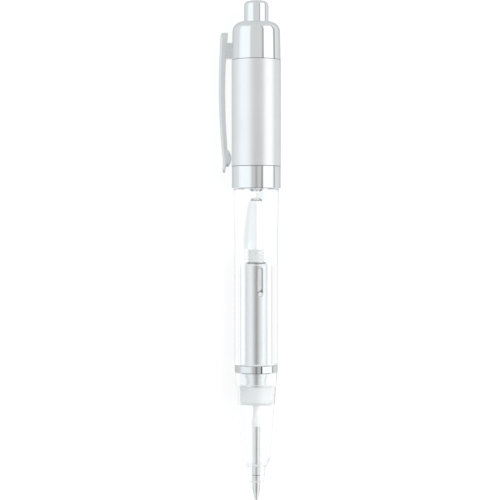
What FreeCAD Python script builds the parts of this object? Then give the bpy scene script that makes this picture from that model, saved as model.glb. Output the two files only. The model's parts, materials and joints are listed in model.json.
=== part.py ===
import FreeCAD, Part
import math
import os
import re

import Sketcher

# A light-up twist pen, modelled about its own long axis. Every piece is drawn with the pen's axis as
# the sketch's vertical, measured from the writing ball at 0 up to the button. Across, the clip is on
# the negative side. The whole pen is then rolled and laid down, so that it rests on its barrel and on
# the clip's outer edge.

# Driving dimensions in millimetres and degrees: alias, value, meaning
DIMS = [
    # stack of lengths along the axis, from the writing ball upwards
    ("point_reach", 5.35, "point outside the nose when it is wound out"),
    ("nose_length", 30.85, "nose cone"),
    ("ring_length", 2.3, "trim ring"),
    ("clear_length", 49.35, "visible clear barrel"),
    ("band_length", 6.25, "chrome band"),
    ("upper_length", 30.0, "satin barrel"),
    ("cap_length", 10.65, "chrome cap"),
    ("button_reach", 6.2, "button outside the cap"),
    # clearances
    ("slip", 0.05, "radial play of pieces pushed together"),
    ("running", 0.07, "radial play of pieces that turn or slide"),
    ("end_gap", 0.1, "play between the ends of moving pieces"),
    # satin barrel, band and cap
    ("barrel_radius", 6.95, "outside of the satin barrel and the band"),
    ("barrel_wall", 0.6, "wall of the satin barrel"),
    ("rim_chamfer", 0.15, "chamfer at the ends of the satin barrel"),
    ("spigot_wall", 0.4, "wall of the spigots inside the satin barrel"),
    ("band_spigot", 3.0, "spigot of the band"),
    ("cap_spigot", 2.2, "spigot of the cap"),
    ("cap_step", 0.08, "cap's foot inside the outline of the satin barrel"),
    ("cap_draft", 0.15, "cap under its shoulder inside its foot"),
    ("cap_round_share", 0.4, "round shoulder of the cap, as a share of its radius"),
    ("cap_wall", 0.9, "wall of the cap"),
    ("cap_top_wall", 1.2, "top wall of the cap"),
    # push button
    ("button_share", 0.496, "outside of the button, as a share of the barrel's radius"),
    ("button_round", 1.35, "round edge of the button"),
    ("button_crown", 0.25, "height of the button's domed face"),
    ("button_stop", 0.95, "stop flange beyond the outside of the button"),
    ("flange_thick", 1.0, "thickness of the stop flange"),
    ("button_travel", 1.5, "stroke of the button"),
    ("button_wall", 0.7, "wall around the hollow under the button"),
    ("button_post", 1.6, "radius of the post that holds the pin"),
    ("hollow_depth", 4.5, "depth of the hollow under the button"),
    ("pin_radius", 0.75, "contact pin"),
    ("pin_seat", 3.5, "length of pin inside the button"),
    ("pin_head", 1.15, "radius of the pin's head"),
    ("pin_head_thick", 0.5, "thickness of the pin's head"),
    # springs
    ("return_coil", 3.45, "mean radius of the button's spring"),
    ("return_wire", 0.22, "wire radius of the button's spring"),
    ("return_turns", 5, "turns of the button's spring"),
    ("contact_coil", 2.6, "mean radius of the contact spring"),
    ("contact_wire", 0.22, "wire radius of the contact spring"),
    ("contact_turns", 4, "turns of the contact spring"),
    # button cells and their sleeve
    ("liner_wall", 0.45, "wall of the battery sleeve"),
    ("cell_height", 5.4, "height of a cell"),
    ("cell_rim", 1.1, "rim of the can around the negative face"),
    ("cell_face_step", 0.35, "height of the negative face"),
    ("cell_round", 0.45, "round edge of the can"),
    ("sleeve_cap", 0.9, "end wall of the battery sleeve"),
    ("sleeve_hole", 1.6, "radius of the hole for the contact pin"),
    # lamp
    ("lamp_radius", 2.5, "lamp and its dome"),
    ("lamp_height", 7.1, "lamp from its dome to its flange"),
    ("lamp_flange", 2.9, "radius of the lamp's flange"),
    ("lamp_flange_thick", 1.0, "thickness of the lamp's flange"),
    ("lead_radius", 0.25, "lead wire"),
    ("lead_offset", 1.27, "distance of a lead from the axis"),
    ("lead_rise", 0.85, "height at which the short lead turns outwards"),
    ("lead_bend", 0.5, "bend radius of the short lead"),
    ("holder_height", 2.8, "lamp holder"),
    ("plate_step", 0.85, "contact plate inside the outline of the lamp holder"),
    ("plate_thick", 0.4, "thickness of the contact plate"),
    # clear barrel
    ("clear_step", 0.53, "clear barrel inside the outline of the band"),
    ("clear_taper", 0.24, "parallel stretch inside the outline above it"),
    ("clear_parallel", 25.0, "length of the parallel stretch"),
    ("clear_spigot", 6.0, "length of the spigot"),
    ("bullet_step", 0.72, "base of the bullet void inside the bore"),
    ("bullet_share", 0.575, "bullet void under its dome, as a share of its base"),
    ("bullet_length", 14.3, "bullet void, base to tip"),
    ("bullet_dome_share", 0.9, "height of the bullet's dome, as a share of the void's radius there"),
    ("bullet_ogive", 125.0, "radius of the bullet's side"),
    ("lamp_cover", 1.3, "clear wall between the bullet's tip and the lamp"),
    # twist mechanism
    ("sleeve_share", 0.482, "chrome sleeve, as a share of the barrel's radius"),
    ("sleeve_wall", 0.3, "wall of the chrome sleeve"),
    ("sleeve_shoulder", 0.95, "round shoulder of the chrome sleeve"),
    ("sleeve_drop", 3.85, "chrome sleeve below the bullet void"),
    ("sleeve_tail", 3.1, "chrome sleeve inside the cup"),
    ("sleeve_flange_thick", 0.35, "thickness of the sleeve's flange"),
    ("slot_width", 1.36, "straight guide slot"),
    ("slot_length", 8.2, "length of the guide slot"),
    ("slot_drop", 1.45, "top of the slot below the sleeve's shoulder"),
    ("slot_turn", 17.0, "turn of the slot from the front"),
    ("cam_wall", 0.78, "wall of the cam tube"),
    ("cam_tail", 3.6, "cam tube below the foot of the slot"),
    ("stub_step", 0.15, "ribbed stub inside the flat top of the cam"),
    ("stub_length", 3.5, "stub above the sleeve"),
    ("stub_groove", 0.14, "depth of the stub's grooves"),
    ("stub_ribs", 6, "ribs on the stub"),
    ("cam_roof", 0.5, "wall above the cam's bore"),
    ("bush_length", 3.3, "clear bush that grips the stub"),
    ("lug_radius", 0.6, "lug of the refill carrier"),
    ("helix_height", 2.0, "height of the helical slot"),
    ("twist_angle", 180.0, "twist from out to in"),
    ("helix_spare", 25.0, "helical slot beyond each end of the twist"),
    ("refill_travel", 6.5, "travel of the refill"),
    ("carrier_below", 2.6, "refill carrier below its lug"),
    ("carrier_above", 1.5, "refill carrier above its lug"),
    ("carrier_socket", 1.6, "depth of the socket for the refill"),
    # nose
    ("ring_step", 0.1, "trim ring inside the outline of the clear barrel"),
    ("ring_skirt", 1.3, "collar of the ring around the chrome sleeve"),
    ("ring_skirt_wall", 0.3, "wall of that collar"),
    ("ring_flange_gap", 3.7, "ring above the foot of the sleeve's flange"),
    ("nose_step", 0.13, "nose cone inside the outline of the ring"),
    ("nose_socket_wall", 0.76, "wall of the nose around the sleeve's flange"),
    ("nose_shoulder_radius", 4.1, "nose cone above its shoulder"),
    ("nose_shoulder_at", 7.65, "shoulder above the end of the nose"),
    ("nose_shoulder_drop", 3.1, "height of the round shoulder"),
    ("nose_neck_radius", 2.78, "nose below its shoulder"),
    ("nose_end_radius", 2.2, "end of the nose"),
    ("nose_end_round", 0.5, "round edge of the end"),
    ("nose_guide", 0.1, "play of the refill in the nose"),
    ("nose_ledge", 0.7, "ledge that the cup stands on"),
    ("nose_void_low", 2.6, "radius of the void above the shoulder"),
    ("cup_step", 0.35, "cup inside the outline of the flange"),
    ("cup_draft", 0.19, "cup at its foot inside its own outline"),
    ("cup_length", 5.2, "cup"),
    ("cup_round", 1.3, "round foot of the cup"),
    # refill
    ("ball_radius", 0.35, "writing ball"),
    ("tip_radius", 0.4, "end of the point"),
    ("cone_length", 3.35, "cone of the point"),
    ("cone_mid_radius", 0.8, "point above its fine end"),
    ("cone_fine", 1.3, "length of the fine end"),
    ("point_length", 7.6, "point, ball to joint"),
    ("refill_radius", 1.175, "steel refill tube"),
    ("refill_wall", 0.25, "wall of the steel tube"),
    ("refill_length", 13.55, "steel refill tube"),
    ("stem_radius", 0.92, "plastic stem"),
    ("stem_bore", 0.5, "bore of the stem"),
    ("collar_radius", 1.35, "collar of the stem"),
    ("collar_length", 1.2, "straight part of the collar"),
    ("collar_taper", 1.6, "tapered part of the collar"),
    # clip
    ("clip_width", 4.8, "width of the clip"),
    ("clip_stand", 3.55, "farthest outside of the clip above the barrel"),
    ("clip_reach_at", 8.4, "farthest place below the top of the satin barrel"),
    ("clip_head_fall", 0.55, "outside of the head inside the farthest place"),
    ("clip_foot_fall", 1.07, "outside at the bump inside the farthest place"),
    ("clip_rise", 7.6, "clip above the top of the satin barrel"),
    ("clip_sheet", 0.55, "thickness of the sheet"),
    ("clip_depth_head", 1.95, "depth of the clip at its head"),
    ("clip_depth_mid", 1.7, "depth of the clip at its bow"),
    ("clip_depth_foot", 1.5, "depth of the clip at the bump"),
    ("clip_edge_round", 0.7, "rounding of the outer edges"),
    ("clip_head_round", 1.9, "rounding of the head in face view"),
    ("clip_length", 39.4, "whole clip"),
    ("clip_tip_fall", 0.75, "outside of the flared tip inside the farthest place"),
    ("clip_tip_depth", 0.8, "depth of the clip at its tip"),
    ("clip_tip_round", 1.3, "rounding of the tip in face view"),
    ("bump_at", 4.1, "bump above the tip"),
    ("bump_radius", 2.38, "radius of the bump's base"),
    ("bump_gap", 0.05, "gap between the bump and the barrel"),
    ("tongue_width", 3.0, "tongue through the cap"),
    ("tongue_height", 4.3, "height of the tongue"),
    ("tongue_at", 0.4, "tongue above the foot of the cap"),
    ("hook_rise", 0.7, "hook inside the cap"),
    ("hook_thick", 0.6, "thickness of the hook"),
]

# Stations and seats worked out from the driving dimensions: alias, formula, meaning
LAYOUT = [
    ("nose_foot", "point_reach", "end of the nose"),
    ("ring_foot", "nose_foot + nose_length", "ring on the nose"),
    ("clear_foot", "ring_foot + ring_length", "foot of the clear barrel"),
    ("band_foot", "clear_foot + clear_length", "foot of the band"),
    ("upper_foot", "band_foot + band_length", "foot of the satin barrel"),
    ("cap_foot", "upper_foot + upper_length", "foot of the cap"),
    ("cap_top", "cap_foot + cap_length", "top of the cap"),
    ("pen_length", "cap_top + button_reach", "top of the button"),
    ("barrel_inside", "barrel_radius - barrel_wall", "inside of the satin barrel"),
    ("spigot_radius", "barrel_inside - slip", "outside of the spigots"),
    ("spigot_inside", "spigot_radius - spigot_wall", "inside of the spigots"),
    ("cap_foot_radius", "barrel_radius - cap_step", "cap at its foot"),
    ("cap_shoulder_radius", "cap_foot_radius - cap_draft", "cap under its shoulder"),
    ("cap_round", "cap_shoulder_radius * cap_round_share", "round shoulder of the cap"),
    ("cap_inside", "cap_shoulder_radius - cap_wall", "inside of the cap"),
    ("button_radius", "barrel_radius * button_share", "outside of the button"),
    ("button_flange", "button_radius + button_stop", "outside of the stop flange"),
    ("button_hollow", "button_radius - button_wall", "hollow under the button"),
    ("cap_ceiling", "cap_top - cap_top_wall", "under the cap's top wall"),
    ("flange_top", "cap_ceiling - slip", "top of the stop flange"),
    ("flange_foot", "flange_top - flange_thick", "foot of the stop flange"),
    ("sleeve_head", "cap_foot - cap_spigot - slip", "top of the battery sleeve"),
    ("cells_top", "sleeve_head - sleeve_cap", "top of the upper cell"),
    ("cells_foot", "cells_top - 3 * cell_height", "foot of the lower cell"),
    ("sleeve_outside", "barrel_inside - slip", "outside of the battery sleeve"),
    ("sleeve_inside", "sleeve_outside - liner_wall", "inside of the battery sleeve"),
    ("cell_radius", "sleeve_inside - slip", "can of a cell"),
    ("cell_face_radius", "cell_radius - cell_rim", "negative face of a cell"),
    ("sleeve_start", "upper_foot + band_spigot + slip", "foot of the battery sleeve"),
    ("spigot_end", "band_foot + clear_spigot", "rear end of the clear barrel"),
    ("lamp_seat", "spigot_end", "flange of the lamp"),
    ("lamp_tip", "lamp_seat - lamp_height", "tip of the lamp's dome"),
    ("lamp_back", "lamp_seat + lamp_flange_thick", "back of the lamp"),
    ("holder_top", "lamp_seat + holder_height", "top of the lamp holder"),
    ("holder_radius", "spigot_inside - slip", "outside of the lamp holder"),
    ("plate_radius", "holder_radius - plate_step", "outside of the contact plate"),
    ("clear_spigot_radius", "spigot_inside - slip", "spigot of the clear barrel"),
    ("clear_top_radius", "barrel_radius - clear_step", "clear barrel under the band"),
    ("clear_radius", "clear_top_radius - clear_taper", "parallel stretch of the clear barrel"),
    ("plate_top", "holder_top + plate_thick", "top of the contact plate"),
    ("bullet_tip", "lamp_tip - slip - lamp_cover", "tip of the bullet void"),
    ("bullet_base", "bullet_tip - bullet_length", "base of the bullet void"),
    ("flange_seat", "ring_foot - ring_flange_gap", "foot of the sleeve's flange"),
    ("sleeve_ledge", "flange_seat + sleeve_flange_thick", "top of the sleeve's flange"),
    ("sleeve_top", "bullet_base - sleeve_drop", "top of the chrome sleeve"),
    ("sleeve_radius", "barrel_radius * sleeve_share", "outside of the chrome sleeve"),
    ("sleeve_bore", "sleeve_radius - sleeve_wall", "inside of the chrome sleeve"),
    ("bore_radius", "sleeve_radius + running", "bore for the mechanism"),
    ("bullet_base_radius", "bore_radius - bullet_step", "bullet void where it meets the bore"),
    ("bullet_neck_radius", "bullet_base_radius * bullet_share", "bullet void under its dome"),
    ("bullet_dome", "bullet_neck_radius * bullet_dome_share", "height of the bullet's dome"),
    ("cam_radius", "sleeve_bore - running", "outside of the cam tube"),
    ("cam_bore", "cam_radius - cam_wall", "inside of the cam tube"),
    ("cam_top", "sleeve_top - sleeve_wall - end_gap", "shoulder of the cam"),
    ("cam_round", "sleeve_shoulder - sleeve_wall", "round edge of the cam"),
    ("stub_radius", "sleeve_bore - cam_round - stub_step", "ribbed stub of the cam"),
    ("stub_top", "sleeve_top + stub_length", "top of the stub"),
    ("slot_head", "sleeve_top - slot_drop", "head of the guide slot"),
    ("slot_foot", "slot_head - slot_length", "foot of the guide slot"),
    ("lug_at", "slot_foot + slot_width / 2", "lug when the point is out"),
    ("cam_foot", "slot_foot - cam_tail", "foot of the cam tube"),
    ("helix_lead", "refill_travel * 360 / twist_angle", "rise of the helix in one turn"),
    ("helix_turn", "twist_angle + 2 * helix_spare", "turn of the helical slot"),
    ("helix_rise", "helix_lead * helix_turn / 360", "rise of the helical slot"),
    ("helix_start", "lug_at - helix_lead * helix_spare / 360", "start of the helix"),
    ("carrier_radius", "cam_bore - running", "refill carrier"),
    ("carrier_foot", "lug_at - carrier_below", "foot of the refill carrier"),
    ("carrier_top", "lug_at + carrier_above", "top of the refill carrier"),
    ("stem_top", "carrier_foot + carrier_socket", "top of the refill's stem"),
    ("joint_at", "point_length", "joint between point and steel tube"),
    ("collar_foot", "joint_at + refill_length", "foot of the stem's collar"),
    ("ring_radius", "clear_radius - ring_step", "trim ring"),
    ("nose_top_radius", "ring_radius - nose_step", "nose cone under the ring"),
    ("nose_socket", "nose_top_radius - nose_socket_wall", "socket in the nose"),
    ("sleeve_flange", "nose_socket - slip", "flange of the chrome sleeve"),
    ("cup_radius", "sleeve_flange - cup_step", "cup under the flange"),
    ("cup_low_radius", "cup_radius - cup_draft", "cup at its foot"),
    ("nose_void_top", "cup_low_radius - nose_ledge", "void under the cup"),
    ("cup_foot", "flange_seat - cup_length", "foot of the cup"),
    ("cup_hole", "collar_radius + running", "hole for the refill"),
    ("nose_shoulder", "nose_foot + nose_shoulder_at", "top of the nose's shoulder"),
    ("nose_neck", "nose_shoulder - nose_shoulder_drop", "foot of the nose's shoulder"),
    ("clip_reach", "barrel_radius + clip_stand", "farthest outside of the clip"),
    ("clip_head_reach", "clip_reach - clip_head_fall", "outside of the head"),
    ("clip_foot_reach", "clip_reach - clip_foot_fall", "outside at the bump"),
    ("clip_tip_reach", "clip_reach - clip_tip_fall", "outside of the flared tip"),
    ("clip_head", "cap_foot + clip_rise", "head of the clip"),
    ("clip_bow", "cap_foot - clip_reach_at", "farthest place of the clip"),
    ("clip_tip", "clip_head - clip_length", "tip of the clip"),
    ("bump_centre", "clip_tip + bump_at", "bump of the clip"),
    ("bump_face", "barrel_radius + bump_gap", "face of the bump"),
    ("tongue_foot", "cap_foot + tongue_at", "foot of the tongue"),
    ("tongue_top", "tongue_foot + tongue_height", "top of the tongue"),
    (
        "hook_face",
        "sqrt(cap_inside ^ 2 - (tongue_width / 2) ^ 2) - slip - hook_thick",
        "inner face of the hook",
    ),
    ("bump_base", "clip_foot_reach - clip_depth_foot", "base of the bump's dome"),
    ("bump_rise", "bump_base - bump_face", "height of the bump's dome"),
    ("bump_sphere", "(bump_radius ^ 2 + bump_rise ^ 2) / (2 * bump_rise)", "radius of the bump's dome"),
    (
        "bow_lower",
        "((clip_reach - clip_foot_reach) ^ 2 + (clip_bow - bump_centre) ^ 2)"
        " / (2 * (clip_reach - clip_foot_reach))",
        "radius of the clip below its bow",
    ),
    ("foot_slope", "asin((clip_bow - bump_centre) / bow_lower)", "slope of the clip at its bump"),
    (
        "flare_radius",
        "sqrt(bump_at ^ 2 + (clip_tip_reach - clip_foot_reach) ^ 2)"
        " / (2 * sin(foot_slope + atan((clip_tip_reach - clip_foot_reach) / bump_at)))",
        "radius of the flare, which carries on from the bow",
    ),
    (
        "channel_end_reach",
        "clip_reach - clip_sheet - (clip_bow - bump_centre - bump_radius) ^ 2 / (2 * bow_lower)",
        "outside of the channel at its end",
    ),
    # stance: the rolled pen touches the ground with its barrel and with the clip's outer edge
    ("edge_out", "clip_reach - clip_edge_round", "centre of the edge's rounding"),
    ("edge_side", "clip_width / 2 - clip_edge_round", "centre of the edge's rounding"),
    ("edge_arm", "sqrt(edge_out ^ 2 + edge_side ^ 2)", "its distance from the axis"),
    (
        "roll",
        "asin((barrel_radius - clip_edge_round) / edge_arm) - atan(edge_side / edge_out)",
        "clip below the level",
    ),
    (
        "clip_side",
        "edge_out * cos(roll) + edge_side * sin(roll) + clip_edge_round",
        "reach of the clip across the laid pen",
    ),
    ("axis_across", "(clip_side - barrel_radius) / 2", "axis beside the middle of the box"),
]

doc = FreeCAD.newDocument("LightPen")


def fill_sheet(name, rows):
    """A sheet with one row per value, each cell under its alias."""
    sheet = doc.addObject("Spreadsheet::Sheet", name)
    for number, (alias, text, meaning) in enumerate(rows, start=1):
        sheet.set(f"A{number}", meaning)
        sheet.set(f"B{number}", text)
        sheet.setAlias(f"B{number}", alias)
    return sheet


OWNER = {row[0]: "dims." for row in DIMS}
OWNER.update({row[0]: "layout." for row in LAYOUT})
WORD = re.compile(r"[a-z][a-z0-9_]*")


def bind(formula):
    """The formula with each alias led by the name of its sheet."""
    return WORD.sub(lambda word: OWNER.get(word.group(0), "") + word.group(0), formula)


dims = fill_sheet("dims", [(alias, str(size), meaning) for alias, size, meaning in DIMS])
layout = fill_sheet("layout", [(alias, "=" + bind(formula), meaning) for alias, formula, meaning in LAYOUT])
doc.recompute()


def value(formula):
    """The number that a formula stands for."""
    found = layout.evalExpression(bind(formula))
    return float(getattr(found, "Value", found))


def new_body(name):
    body = doc.addObject("PartDesign::Body", name)
    body.Label = name
    return body


def new_sketch(body, name, role="XY_Plane", offset=None):
    """A sketch on one of the body's own origin planes."""
    sketch = body.newObject("Sketcher::SketchObject", name)
    plane = next(item for item in body.Origin.OriginFeatures if item.Role == role)
    sketch.AttachmentSupport = [(plane, "")]
    sketch.MapMode = "FlatFace"
    if offset:
        sketch.AttachmentOffset = offset
    return sketch


def bind_constraint(sketch, constraint, name, formula):
    index = sketch.addConstraint(constraint)
    sketch.renameConstraint(index, name)
    sketch.setExpression(f"Constraints.{name}", bind(formula))


def locate(sketch, edge, end, across, along, name):
    """Ties one point to its distances from the sketch's origin."""
    for direction, formula, axis in (("X", across, -2), ("Y", along, -1)):
        size = value(formula)
        if abs(size) < 1e-9:
            sketch.addConstraint(Sketcher.Constraint("PointOnObject", edge, end, axis))
            continue
        ends = (-1, 1, edge, end) if size > 0 else (edge, end, -1, 1)
        signed = formula if size > 0 else f"-({formula})"
        rule = Sketcher.Constraint("Distance" + direction, *ends, abs(size))
        bind_constraint(sketch, rule, f"{name}_{direction.lower()}", signed)


def arc_between(start, end, radius, turn):
    """The short arc from start to end that turns left or right. A sketch arc always runs to the left."""
    chord = end - start
    reach = math.sqrt(max(radius**2 - (chord.Length / 2) ** 2, 0.0))
    side = 1 if turn == "left" else -1
    normal = FreeCAD.Vector(-chord.y, chord.x, 0).normalize()
    centre = (start + end) * 0.5 + normal * (side * reach)
    first, last = (start, end) if turn == "left" else (end, start)
    from_angle = math.atan2(first.y - centre.y, first.x - centre.x)
    to_angle = math.atan2(last.y - centre.y, last.x - centre.x)
    if to_angle < from_angle:
        to_angle += 2 * math.pi
    circle = Part.Circle(centre, FreeCAD.Vector(0, 0, 1), radius)
    return Part.ArcOfCircle(circle, from_angle, to_angle)


def draw_outline(sketch, corners):
    """A closed outline. A corner is (across, along), reached by a straight edge, or
    (across, along, radius, turn), reached by an arc that turns left or right."""
    places = [FreeCAD.Vector(value(corner[0]), value(corner[1]), 0) for corner in corners]
    first = sketch.GeometryCount
    ends = []
    for number, corner in enumerate(corners):
        start = places[number - 1]
        end = places[number]
        if len(corner) == 2:
            sketch.addGeometry(Part.LineSegment(start, end), False)
            ends.append((1, 2))
        else:
            arc = arc_between(start, end, value(corner[2]), corner[3])
            sketch.addGeometry(arc, False)
            ends.append((1, 2) if corner[3] == "left" else (2, 1))
    count = len(corners)
    for number, corner in enumerate(corners):
        following = (number + 1) % count
        edge = first + number
        joint = (edge, ends[number][1], first + following, ends[following][0])
        sketch.addConstraint(Sketcher.Constraint("Coincident", *joint))
        locate(sketch, edge, ends[number][1], corner[0], corner[1], f"c{edge}")
        if len(corner) > 2:
            rule = Sketcher.Constraint("Radius", edge, value(corner[2]))
            bind_constraint(sketch, rule, f"c{edge}_r", corner[2])


def draw_circle(sketch, across, along, radius):
    centre = FreeCAD.Vector(value(across), value(along), 0)
    up = FreeCAD.Vector(0, 0, 1)
    edge = sketch.addGeometry(Part.Circle(centre, up, value(radius)), False)
    locate(sketch, edge, 3, across, along, f"o{edge}")
    bind_constraint(sketch, Sketcher.Constraint("Radius", edge, value(radius)), f"o{edge}_r", radius)


def turned(body, name, corners, kind="PartDesign::Revolution", offset=None):
    """A full turn of an outline about the sketch's vertical."""
    sketch = new_sketch(body, name + "_outline", offset=offset)
    draw_outline(sketch, corners)
    turn = body.newObject(kind, name)
    turn.Profile = sketch
    turn.ReferenceAxis = (sketch, ["V_Axis"])
    turn.Angle = 360.0
    sketch.Visibility = False
    return turn


def pushed(body, name, draw, depth, kind="PartDesign::Pad", role="XY_Plane", both=False, toward=1):
    """A pad or pocket of what draw puts on a sketch, towards the positive or negative normal."""
    sketch = new_sketch(body, name + "_outline", role)
    draw(sketch)
    push = body.newObject(kind, name)
    push.Profile = sketch
    push.Length = value(depth)
    push.setExpression("Length", bind(depth))
    if both:
        push.Midplane = True
    else:
        push.Reversed = (toward < 0) if kind.endswith("Pad") else (toward > 0)
    sketch.Visibility = False
    return push


def cut_checked(body, before):
    """A cut has to take something away."""
    doc.recompute()
    if not body.Shape.Volume < before - 1e-4:
        raise ValueError(body.Label + ": a cut took nothing away")


def volume_now(body):
    doc.recompute()
    return body.Shape.Volume


def box_corners(x0, y0, x1, y1):
    return [(x0, y0), (x1, y0), (x1, y1), (x0, y1)]


def bow_radius(out, mid, along):
    """Radius of an arc that runs along the pen at one end: out and mid are the distances of its ends."""
    return f"(({mid} - {out}) ^ 2 + ({along}) ^ 2) / (2 * ({mid} - {out}))"


def make_upper_barrel():
    body = new_body("upper_barrel")
    turned(body, "tube", [
        ("barrel_inside", "upper_foot"),
        ("barrel_radius - rim_chamfer", "upper_foot"),
        ("barrel_radius", "upper_foot + rim_chamfer"),
        ("barrel_radius", "cap_foot - rim_chamfer"),
        ("barrel_radius - rim_chamfer", "cap_foot"),
        ("barrel_inside", "cap_foot"),
    ])
    return body


def make_center_band():
    body = new_body("center_band")
    turned(body, "band", [
        ("spigot_inside", "band_foot"),
        ("barrel_radius - rim_chamfer", "band_foot"),
        ("barrel_radius", "band_foot + rim_chamfer"),
        ("barrel_radius", "upper_foot"),
        ("spigot_radius", "upper_foot"),
        ("spigot_radius", "upper_foot + band_spigot"),
        ("spigot_inside", "upper_foot + band_spigot"),
    ])
    return body


def make_cap():
    """A cup with a round shoulder, a hole for the button, a spigot and a slot for the clip."""
    body = new_body("cap")
    inner_round = "cap_round - cap_wall"
    turned(body, "shell", [
        ("spigot_inside", "cap_foot - cap_spigot"),
        ("spigot_radius", "cap_foot - cap_spigot"),
        ("spigot_radius", "cap_foot"),
        ("cap_foot_radius", "cap_foot"),
        ("cap_shoulder_radius", "cap_top - cap_round"),
        ("cap_shoulder_radius - cap_round", "cap_top", "cap_round", "left"),
        ("button_radius + running", "cap_top"),
        ("button_radius + running", "cap_ceiling"),
        (f"cap_inside - ({inner_round})", "cap_ceiling"),
        ("cap_inside", f"cap_ceiling - ({inner_round})", inner_round, "right"),
        ("cap_inside", "cap_foot + tongue_at / 2"),
        ("spigot_inside", "cap_foot"),
    ])
    before = volume_now(body)
    depth = "tongue_width + 2 * slip"
    slot = box_corners(
        "-cap_foot_radius - 1", "tongue_foot - slip", "-cap_inside + cap_wall", "tongue_top + slip"
    )
    pushed(body, "clip_slot", lambda sketch: draw_outline(sketch, slot), depth,
           "PartDesign::Pocket", both=True)
    cut_checked(body, before)
    return body


def make_push_button():
    """A domed plunger with a stop flange, hollow around the post that holds the contact pin."""
    body = new_body("push_button")
    face = "button_radius - button_round"
    crown_radius = f"(({face}) ^ 2 + button_crown ^ 2) / (2 * button_crown)"
    turned(body, "plunger", [
        ("0", "flange_foot + pin_seat"),
        ("pin_radius", "flange_foot + pin_seat"),
        ("pin_radius", "flange_foot"),
        ("button_post", "flange_foot"),
        ("button_post", "flange_foot + hollow_depth"),
        ("button_hollow", "flange_foot + hollow_depth"),
        ("button_hollow", "flange_foot"),
        ("button_flange", "flange_foot"),
        ("button_flange", "flange_top"),
        ("button_radius", "flange_top"),
        ("button_radius", "pen_length - button_crown - button_round"),
        (face, "pen_length - button_crown", "button_round", "left"),
        ("0", "pen_length", crown_radius, "left"),
    ])
    return body


def make_contact_pin():
    body = new_body("contact_pin")
    end = "cells_top + button_travel + slip"
    turned(body, "pin", [
        ("0", end),
        ("pin_head", end),
        ("pin_head", f"{end} + pin_head_thick"),
        ("pin_radius", f"{end} + pin_head_thick"),
        ("pin_radius", "flange_foot + pin_seat"),
        ("0", "flange_foot + pin_seat"),
    ])
    return body


def make_spring(name, foot, head, coil, wire, turns):
    """A round wire on a helix that just reaches both of its seats."""
    body = new_body(name)
    sketch = new_sketch(body, "wire")
    draw_circle(sketch, coil, f"{foot} + {wire}", wire)
    helix = body.newObject("PartDesign::AdditiveHelix", "coil")
    helix.Profile = sketch
    helix.ReferenceAxis = (sketch, ["V_Axis"])
    helix.Mode = "height-turns-angle"
    helix.Height = value(f"{head} - {foot} - 2 * {wire}")
    helix.Turns = value(turns)
    helix.setExpression("Height", bind(f"{head} - {foot} - 2 * {wire}"))
    helix.setExpression("Turns", bind(turns))
    sketch.Visibility = False
    return body


def make_battery_sleeve():
    body = new_body("battery_sleeve")
    turned(body, "liner", [
        ("sleeve_inside", "sleeve_start"),
        ("sleeve_outside", "sleeve_start"),
        ("sleeve_outside", "sleeve_head"),
        ("sleeve_hole", "sleeve_head"),
        ("sleeve_hole", "cells_top"),
        ("sleeve_inside", "cells_top"),
    ])
    return body


def make_cell(number):
    """A button cell with its negative face down, number 1 on top."""
    body = new_body(f"battery_cell_{number}")
    foot = f"(cells_top - {number} * cell_height)"
    head = f"({foot} + cell_height)"
    turned(body, "can", [
        ("0", foot),
        ("cell_face_radius", foot),
        ("cell_face_radius", f"{foot} + cell_face_step"),
        ("cell_radius - cell_round", f"{foot} + cell_face_step"),
        ("cell_radius", f"{foot} + cell_face_step + cell_round", "cell_round", "left"),
        ("cell_radius", f"{head} - cell_round"),
        ("cell_radius - cell_round", head, "cell_round", "left"),
        ("0", head),
    ])
    return body


def make_contact_plate():
    body = new_body("contact_plate")
    pushed(body, "disc", lambda sketch: draw_circle(sketch, "0", "0", "plate_radius"),
           "plate_thick", role="XZ_Plane", toward=-1)
    return body


def make_lamp():
    """A 5 mm lamp with its dome towards the nose."""
    body = new_body("led_body")
    turned(body, "lens", [
        ("0", "lamp_tip"),
        ("lamp_radius", "lamp_tip + lamp_radius", "lamp_radius", "left"),
        ("lamp_radius", "lamp_seat"),
        ("lamp_flange", "lamp_seat"),
        ("lamp_flange", "lamp_back"),
        ("0", "lamp_back"),
    ])
    return body


def make_lamp_holder():
    """A disc with a recess for the lamp's flange, a hole for each lead and a channel for one."""
    body = new_body("led_holder")
    turned(body, "disc", [
        ("0", "lamp_back"),
        ("lamp_flange + slip", "lamp_back"),
        ("lamp_flange + slip", "lamp_seat"),
        ("holder_radius", "lamp_seat"),
        ("holder_radius", "holder_top"),
        ("0", "holder_top"),
    ])
    before = volume_now(body)
    hole = "(lead_radius + slip)"
    lead_holes = box_corners(f"-lead_offset - {hole}", "lamp_back - 0.1", f"-lead_offset + {hole}",
                             "holder_top + 0.1")
    pushed(body, "lead_hole", lambda sketch: draw_outline(sketch, lead_holes), f"2 * {hole}",
           "PartDesign::Pocket", both=True)
    cut_checked(body, before)
    before = volume_now(body)
    channel = box_corners(f"lead_offset - {hole}", "lamp_back - 0.1", "holder_radius + 1",
                          "holder_top + 0.1")
    pushed(body, "lead_channel", lambda sketch: draw_outline(sketch, channel), f"2 * {hole}",
           "PartDesign::Pocket", both=True)
    cut_checked(body, before)
    return body


def make_lead_plus():
    """The lead that stands up to the contact plate."""
    body = new_body("led_lead_plus")
    lead = box_corners("-lead_offset - lead_radius", "lamp_back", "-lead_offset + lead_radius",
                       "holder_top")
    pushed(body, "wire", lambda sketch: draw_outline(sketch, lead), "2 * lead_radius", both=True)
    return body


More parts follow.
